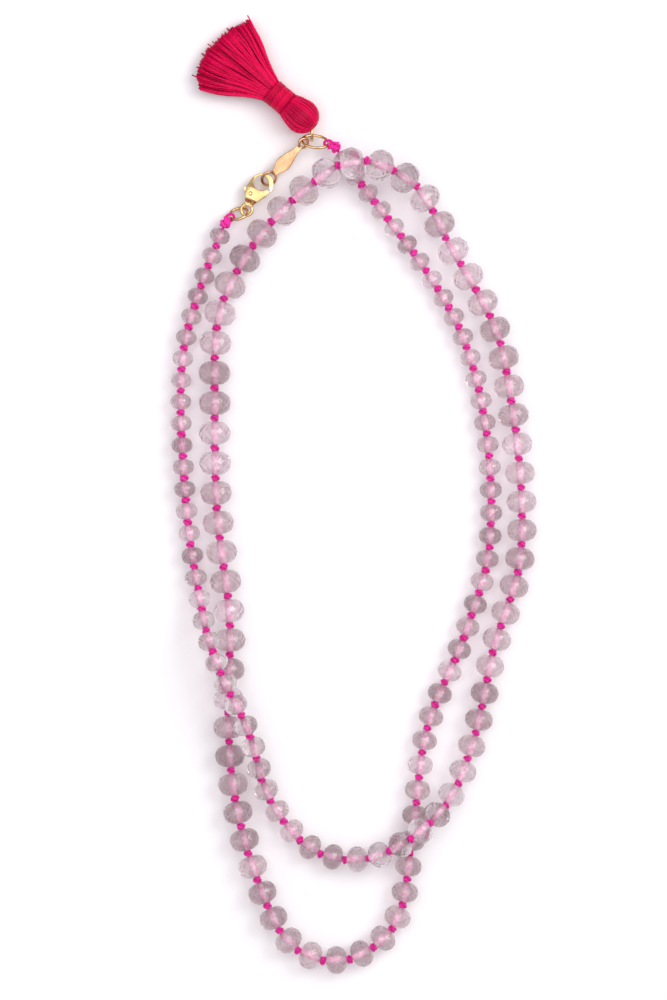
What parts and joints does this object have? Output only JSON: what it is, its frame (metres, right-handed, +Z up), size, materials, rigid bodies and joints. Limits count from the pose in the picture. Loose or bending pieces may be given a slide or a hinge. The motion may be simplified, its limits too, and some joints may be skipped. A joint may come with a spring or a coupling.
{
  "type": "hand-knotted mala",
  "caption": "Double-wrap mala of graduated faceted stone beads hand-knotted on silk cord, with lobster clasp, connector tag, wire rings and thread tassel.",
  "frame": {"origin": "centre of the whole laid-out strand's box, on the surface it rests on", "axes": "+Z up from the surface, +Y along the long way of the loops from the far bend towards the clasp and the tassel, +X to the right seen from above"},
  "size_m": [0.0986, 0.257, 0.0157],
  "materials": {
    "rose_quartz": "polished, micro-faceted, slightly cloudy",
    "pink_silk": "twisted silk bead cord",
    "gold": "polished gold-filled wire and cast findings",
    "tassel_thread": "shiny rayon thread"
  },
  "bodies": {
    "strand": {"bead_run_01": "rose_quartz", "bead_run_02": "rose_quartz", "bead_run_03": "rose_quartz", "bead_run_04": "rose_quartz", "bead_run_05": "rose_quartz", "bead_run_06": "rose_quartz", "bead_run_07": "rose_quartz", "bead_run_08": "rose_quartz", "bead_run_09": "rose_quartz", "bead_run_10": "rose_quartz", "bead_run_11": "rose_quartz", "bead_run_12": "rose_quartz", "bead_run_13": "rose_quartz", "bead_run_14": "rose_quartz", "bead_run_15": "rose_quartz", "bead_run_16": "rose_quartz", "bead_run_17": "rose_quartz", "bead_run_18": "rose_quartz", "silk_cord": "pink_silk", "end_knot_clasp_side": "pink_silk", "end_knot_tassel_side": "pink_silk"},
    "clasp_ring": {"clasp_ring": "gold"},
    "clasp": {"clasp_body": "gold", "clasp_pin": "gold", "clasp_spring": "gold"},
    "lever": {"clasp_lever": "gold"},
    "connector": {"connector_tag": "gold"},
    "connector_ring": {"connector_ring": "gold"},
    "tassel": {"tassel_ring": "gold", "tassel_head": "tassel_thread", "tassel_neck_wrap": "tassel_thread", "tassel_skirt": "tassel_thread"},
    "bead_001": {"bead_001": "rose_quartz"},
    "bead_002": {"bead_002": "rose_quartz"},
    "bead_003": {"bead_003": "rose_quartz"},
    "bead_004": {"bead_004": "rose_quartz"},
    "bead_005": {"bead_005": "rose_quartz"},
    "bead_006": {"bead_006": "rose_quartz"},
    "bead_007": {"bead_007": "rose_quartz"},
    "bead_008": {"bead_008": "rose_quartz"},
    "bead_009": {"bead_009": "rose_quartz"},
    "bead_010": {"bead_010": "rose_quartz"},
    "bead_011": {"bead_011": "rose_quartz"},
    "bead_012": {"bead_012": "rose_quartz"},
    "bead_120": {"bead_120": "rose_quartz"},
    "bead_121": {"bead_121": "rose_quartz"},
    "bead_122": {"bead_122": "rose_quartz"},
    "bead_123": {"bead_123": "rose_quartz"},
    "bead_124": {"bead_124": "rose_quartz"},
    "bead_125": {"bead_125": "rose_quartz"},
    "bead_126": {"bead_126": "rose_quartz"},
    "bead_127": {"bead_127": "rose_quartz"},
    "bead_128": {"bead_128": "rose_quartz"},
    "bead_129": {"bead_129": "rose_quartz"},
    "bead_130": {"bead_130": "rose_quartz"},
    "bead_131": {"bead_131": "rose_quartz"}
  },
  "joints": [
    {"name": "clasp_lever_press", "type": "hinge", "parent": "clasp", "child": "lever", "pos_m": [-0.02775, 0.08163, 0.0023], "axis": [0, 0, 1], "range_deg": [0, 18], "stiffness_Nm_per_rad": 0.0004},
    {"name": "clasp_lift", "type": "hinge", "parent": "strand", "child": "clasp", "pos_m": [-0.0288, 0.07726, 0.0023], "axis": [0.6476, 0.7554, 0.1002], "range_deg": [0, 45]},
    {"name": "clasp_ring_turn", "type": "hinge", "parent": "strand", "child": "clasp_ring", "pos_m": [-0.03101, 0.0762, 0.0028], "axis": [0.8832, 0.4259, -0.1963], "range_deg": [-12, 12]},
    {"name": "connector_lift", "type": "hinge", "parent": "strand", "child": "connector", "pos_m": [-0.0135, 0.09511, 0.00467], "axis": [0.6476, 0.7554, 0.1002], "range_deg": [0, 45]},
    {"name": "connector_ring_turn", "type": "hinge", "parent": "strand", "child": "connector_ring", "pos_m": [-0.0103, 0.09556, 0.0038], "axis": [0.9915, -0.1302, 0], "range_deg": [-7, 7]},
    {"name": "tassel_swing", "type": "hinge", "parent": "strand", "child": "tassel", "pos_m": [-0.01119, 0.09734, 0.00216], "axis": [0, 0, 1], "range_deg": [-22, 22]},
    {"name": "turn_bead_001", "type": "hinge", "parent": "strand", "child": "bead_001", "pos_m": [-0.03596, 0.07019, 0.00335], "axis": [-0.3676, -0.9296, -0.0286], "continuous": true},
    {"name": "turn_bead_002", "type": "hinge", "parent": "strand", "child": "bead_002", "pos_m": [-0.03808, 0.06485, 0.00318], "axis": [-0.3712, -0.9281, -0.0291], "continuous": true},
    {"name": "turn_bead_003", "type": "hinge", "parent": "strand", "child": "bead_003", "pos_m": [-0.04013, 0.05948, 0.00303], "axis": [-0.3424, -0.9393, -0.0226], "continuous": true},
    {"name": "turn_bead_004", "type": "hinge", "parent": "strand", "child": "bead_004", "pos_m": [-0.04198, 0.05403, 0.00295], "axis": [-0.2993, -0.9541, -0.004], "continuous": true},
    {"name": "turn_bead_005", "type": "hinge", "parent": "strand", "child": "bead_005", "pos_m": [-0.04364, 0.04851, 0.00295], "axis": [-0.2755, -0.9613, 0.0014], "continuous": true},
    {"name": "turn_bead_006", "type": "hinge", "parent": "strand", "child": "bead_006", "pos_m": [-0.04503, 0.0429, 0.00296], "axis": [-0.2054, -0.9787, 0.0018], "continuous": true},
    {"name": "turn_bead_007", "type": "hinge", "parent": "strand", "child": "bead_007", "pos_m": [-0.04595, 0.03719, 0.00297], "axis": [-0.1149, -0.9934, 0.0021], "continuous": true},
    {"name": "turn_bead_008", "type": "hinge", "parent": "strand", "child": "bead_008", "pos_m": [-0.0464, 0.0314, 0.00298], "axis": [-0.0402, -0.9992, 0.0024], "continuous": true},
    {"name": "turn_bead_009", "type": "hinge", "parent": "strand", "child": "bead_009", "pos_m": [-0.04651, 0.02556, 0.00299], "axis": [0.0022, -1, 0.0026], "continuous": true},
    {"name": "turn_bead_010", "type": "hinge", "parent": "strand", "child": "bead_010", "pos_m": [-0.04642, 0.01971, 0.00301], "axis": [0.0293, -0.9996, 0.0029], "continuous": true},
    {"name": "turn_bead_011", "type": "hinge", "parent": "strand", "child": "bead_011", "pos_m": [-0.04619, 0.01383, 0.00303], "axis": [0.0486, -0.9988, 0.0032], "continuous": true},
    {"name": "turn_bead_012", "type": "hinge", "parent": "strand", "child": "bead_012", "pos_m": [-0.04586, 0.00793, 0.00299], "axis": [0.0633, -0.9979, -0.0162], "continuous": true},
    {"name": "turn_bead_120", "type": "hinge", "parent": "strand", "child": "bead_120", "pos_m": [0.03144, 0.03742, 0.00299], "axis": [-0.3032, 0.9528, 0.0162], "continuous": true},
    {"name": "turn_bead_121", "type": "hinge", "parent": "strand", "child": "bead_121", "pos_m": [0.02944, 0.04298, 0.00305], "axis": [-0.3755, 0.9268, 0.0035], "continuous": true},
    {"name": "turn_bead_122", "type": "hinge", "parent": "strand", "child": "bead_122", "pos_m": [0.02701, 0.04833, 0.00308], "axis": [-0.4505, 0.8928, 0.0079], "continuous": true},
    {"name": "turn_bead_123", "type": "hinge", "parent": "strand", "child": "bead_123", "pos_m": [0.02421, 0.05346, 0.00313], "axis": [-0.507, 0.8619, 0.0102], "continuous": true},
    {"name": "turn_bead_124", "type": "hinge", "parent": "strand", "child": "bead_124", "pos_m": [0.02113, 0.05842, 0.0032], "axis": [-0.5482, 0.8362, 0.0119], "continuous": true},
    {"name": "turn_bead_125", "type": "hinge", "parent": "strand", "child": "bead_125", "pos_m": [0.01786, 0.06322, 0.00327], "axis": [-0.5771, 0.8165, 0.0132], "continuous": true},
    {"name": "turn_bead_126", "type": "hinge", "parent": "strand", "child": "bead_126", "pos_m": [0.01446, 0.06791, 0.00335], "axis": [-0.5959, 0.8029, 0.0142], "continuous": true},
    {"name": "turn_bead_127", "type": "hinge", "parent": "strand", "child": "bead_127", "pos_m": [0.01098, 0.07253, 0.00344], "axis": [-0.6061, 0.7952, 0.0149], "continuous": true},
    {"name": "turn_bead_128", "type": "hinge", "parent": "strand", "child": "bead_128", "pos_m": [0.00748, 0.07712, 0.00352], "axis": [-0.6085, 0.7934, 0.0153], "continuous": true},
    {"name": "turn_bead_129", "type": "hinge", "parent": "strand", "child": "bead_129", "pos_m": [0.00399, 0.0817, 0.00361], "axis": [-0.6032, 0.7974, 0.0154], "continuous": true},
    {"name": "turn_bead_130", "type": "hinge", "parent": "strand", "child": "bead_130", "pos_m": [0.00056, 0.08631, 0.0037], "axis": [-0.59, 0.8072, 0.0152], "continuous": true},
    {"name": "turn_bead_131", "type": "hinge", "parent": "strand", "child": "bead_131", "pos_m": [-0.00277, 0.091, 0.00378], "axis": [-0.5679, 0.8229, 0.0148], "continuous": true}
  ],
  "couplings": [
    {"joint": "connector_lift", "follows": "clasp_lift", "ratio": 1}
  ]
}
